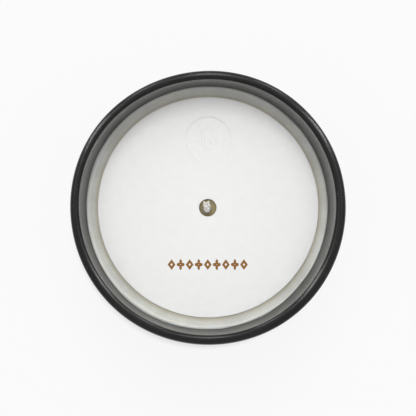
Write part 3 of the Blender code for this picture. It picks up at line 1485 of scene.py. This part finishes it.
@dataclass
class FoilBorder:
    """A row of stamped copper ornaments on the dust cover."""

    cover: DustCover
    middle: tuple[float, float] = (-0.13 * MM, -18.03 * MM)
    count: int = 9
    pitch: float = 2.87 * MM
    half_height: float = 1.70 * MM
    half_width: float = 1.24 * MM
    hollow: float = 0.30  # the lozenge's opening over its outside
    petal: tuple[float, float] = (0.86 * MM, 0.62 * MM)  # half its length and half its width
    petal_gap: float = 0.12 * MM
    thickness: float = 0.022 * MM
    edge: float = 0.007 * MM

    def _lozenge(self) -> bpy.types.Object:
        """An open lozenge, drawn in from its outline.

        Returns:
            The lozenge.
        """
        bpy.ops.object.select_all(action="DESELECT")
        bpy.ops.mesh.primitive_circle_add(vertices=4, radius=self.half_height, fill_type="NOTHING")
        piece = settled(Ornament.LOZENGE.value)
        narrow = self.half_width / self.half_height
        with editing(piece):
            bpy.ops.mesh.select_all(action="SELECT")
            bpy.ops.transform.resize(value=(narrow, 1, 1), center_override=(0, 0, 0))
            bpy.ops.mesh.extrude_edges_move()
            size = (self.hollow, self.hollow, 1)
            bpy.ops.transform.resize(value=size, center_override=(0, 0, 0))
            bpy.ops.mesh.select_all(action="SELECT")
            bpy.ops.mesh.subdivide(number_cuts=3)
        return piece

    def _rosette(self) -> bpy.types.Object:
        """Four petals about a small gap.

        Returns:
            The rosette.
        """
        petals = []
        long, wide = self.petal
        reach = long + self.petal_gap
        for quarter in range(4):
            bpy.ops.object.select_all(action="DESELECT")
            bpy.ops.mesh.primitive_circle_add(
                vertices=24, radius=long, location=(reach, 0, 0), fill_type="TRIFAN"
            )
            petal = settled(f"petal_{quarter}")
            with editing(petal):
                bpy.ops.mesh.select_all(action="SELECT")
                bpy.ops.transform.resize(value=(1, wide / long, 1), center_override=(reach, 0, 0))
                bpy.ops.transform.rotate(
                    value=quarter * math.pi / 2, orient_axis="Z", center_override=(0, 0, 0)
                )
            petals.append(petal)
        piece = joined(Ornament.ROSETTE.value, petals)
        half = piece.dimensions.x / 2
        with editing(piece):
            bpy.ops.mesh.select_all(action="SELECT")
            size = (self.half_width / half, self.half_height / half, 1)
            bpy.ops.transform.resize(value=size, center_override=(0, 0, 0))
        return piece

    def _stamped(self, point: Vector) -> Vector:
        """Lays a point of the flat foil on the board."""
        spot = Vector((point.x + self.middle[0], point.y + self.middle[1], 0))
        return self.cover.laid(spot) + Vector((0, 0, self.cover.top_z + point.z))

    def build(self) -> bpy.types.Object:
        """Stamps the ornaments in a row and dresses them in their foil.

        Returns:
            The finished piece.
        """
        models = {Ornament.LOZENGE: self._lozenge(), Ornament.ROSETTE: self._rosette()}
        row = []
        for i in range(self.count):
            kind = Ornament.LOZENGE if i % 2 == 0 else Ornament.ROSETTE
            row.append(copied(models[kind], (i - (self.count - 1) / 2) * self.pitch))
        for model in models.values():
            bpy.data.objects.remove(model)
        piece = joined("foil_border", row)
        with editing(piece):
            bpy.ops.mesh.select_all(action="SELECT")
            bpy.ops.mesh.normals_make_consistent(inside=False)
        applied(piece, "SOLIDIFY", thickness=self.thickness, offset=0)
        applied(piece, "BEVEL", width=self.edge, segments=1, limit_method="ANGLE")
        reshape(piece, self._stamped)
        dress(piece, CopperFoil().material(), None, 30)
        return piece


class Sight(Enum):
    """What a softbox is seen by: a matt one lights surfaces, a glossy one only shows in glaze."""

    MATT = "matt"
    GLOSS = "gloss"


@dataclass(frozen=True)
class Softbox:
    """A round softbox far off, and its twin on the other side unless it hangs in the middle."""

    name: str
    sight: Sight
    azimuth: float  # degrees from +X
    tilt: float  # degrees from straight up
    spread: float  # degrees from its middle to its edge
    glow: float  # how bright its face is

    def hang(self, aim: Vector, distance: float) -> None:
        """Hangs the softbox and its twin.

        Args:
            aim: the point that they face.
            distance: how far from there they hang.
        """
        for azimuth in sorted({self.azimuth, 180 - self.azimuth}):
            self._hang_one(f"{self.name}_{azimuth:.0f}", math.radians(azimuth), aim, distance)

    def _hang_one(self, name: str, azimuth: float, aim: Vector, distance: float) -> None:
        """Hangs one softbox at an azimuth in radians.

        Args:
            name: the lamp's name.
            azimuth: the azimuth.
            aim: the point that it faces.
            distance: how far from there it hangs.
        """
        tilt = math.radians(self.tilt)
        flat = math.sin(tilt)
        away = Vector((flat * math.cos(azimuth), flat * math.sin(azimuth), math.cos(tilt)))
        radius = distance * math.tan(math.radians(self.spread))
        bpy.ops.object.light_add(type="AREA", location=aim + away * distance)
        lamp = bpy.context.active_object
        lamp.name = name
        lamp.rotation_euler = (-away).to_track_quat("-Z", "Y").to_euler()
        lamp.data.shape = "DISK"
        lamp.data.size = 2 * radius
        lamp.data.energy = self.glow * math.pi * math.pi * radius**2
        lamp.visible_camera = False
        lamp.visible_glossy = self.sight is Sight.GLOSS
        lamp.visible_diffuse = self.sight is Sight.MATT


@dataclass
class Studio:
    """The pale floor, the soft lights and the camera straight above the mouth."""

    floor_half: float = 6.0
    camera_over_lip: float = 0.560
    camera_offset: tuple[float, float] = (-0.054 * MM, -0.08 * MM)
    lens: float = 159.32
    sensor: float = 36
    dome: float = 0.344
    backdrop: float = 0.955
    light_distance: float = 3.0
    softboxes: tuple[Softbox, ...] = (
        Softbox("zenith", Sight.MATT, 90, 0, 9, 2.7),
        Softbox("key", Sight.MATT, 90, 16, 9, 16.4),
        Softbox("high_key", Sight.MATT, 90, 32, 9, 3.1),
        Softbox("side", Sight.MATT, 0, 16, 9, 4.9),
        Softbox("rim_high", Sight.GLOSS, 90, 31, 6, 9.4),
        Softbox("rim_middle", Sight.GLOSS, 90, 46, 6, 8.0),
        Softbox("rim_low", Sight.GLOSS, 90, 62, 6, 5.5),
        Softbox("wing_low", Sight.GLOSS, 62, 65, 6, 15.2),
        Softbox("flank_high", Sight.GLOSS, 35, 31, 6, 13.0),
        Softbox("flank_middle", Sight.GLOSS, 35, 50, 6, 12.6),
        Softbox("flank_low", Sight.GLOSS, 35, 65, 6, 22.0),
        Softbox("edge", Sight.GLOSS, 5, 35, 6, 2.0),
    )

    def _floor(self) -> None:
        """Lays the paper."""
        bpy.ops.object.select_all(action="DESELECT")
        low = CAD_BOUNDS[0].z
        bpy.ops.mesh.primitive_plane_add(size=2 * self.floor_half, location=(0, 0, low))
        paper = settled("studio_floor")
        with editing(paper):
            bpy.ops.mesh.select_all(action="SELECT")
            bpy.ops.mesh.subdivide(number_cuts=3)
        paper.data.materials.append(StudioPaper().material())

    def _world(self) -> None:
        """A dome of even light, seen as bright as the floor."""
        world = bpy.data.worlds.new("studio_dome")
        bpy.context.scene.world = world
        g = Graph(world)
        white = (1, 1, 1, 1)
        light = g.node("ShaderNodeBackground", {"Color": white, "Strength": self.dome})
        seen = g.node("ShaderNodeBackground", {"Color": white, "Strength": self.backdrop})
        looking = g.node("ShaderNodeLightPath", output="Is Camera Ray")
        mix = g.node("ShaderNodeMixShader", {0: looking, 1: light, 2: seen})
        g.node("ShaderNodeOutputWorld", {"Surface": mix})

    def _camera(self) -> None:
        """Sets the camera up over the mouth, looking straight down."""
        x, y = self.camera_offset
        height = CAD_BOUNDS[1].z + self.camera_over_lip
        bpy.ops.object.camera_add(location=(x, y, height), rotation=(0, 0, 0))
        camera = bpy.context.active_object
        camera.data.sensor_width = self.sensor
        camera.data.lens = self.lens
        camera.data.clip_start = 0.01
        camera.data.clip_end = 20
        bpy.context.scene.camera = camera

    def build(self) -> None:
        """Sets the whole studio up."""
        bpy.context.scene.view_settings.view_transform = "Standard"
        self._floor()
        self._world()
        for softbox in self.softboxes:
            softbox.hang(Vector((0, 0, CAD_BOUNDS[1].z)), self.light_distance)
        self._camera()


def main() -> None:
    """Builds the candle from the floor up, then the studio around it."""
    logging.basicConfig(level=logging.INFO, format="%(message)s")
    vessel, wick, cover = Vessel(), BraidedWick(), DustCover()
    makers = [vessel, AdhesivePad(), WickSustainer(), wick, WaxFill(vessel, wick)]
    for maker in [*makers, cover, FoilBorder(cover)]:
        piece = maker.build()
        LOG.info("%s: %d faces", piece.name, len(piece.data.polygons))
    Studio().build()


if __name__ == "__main__":
    main()
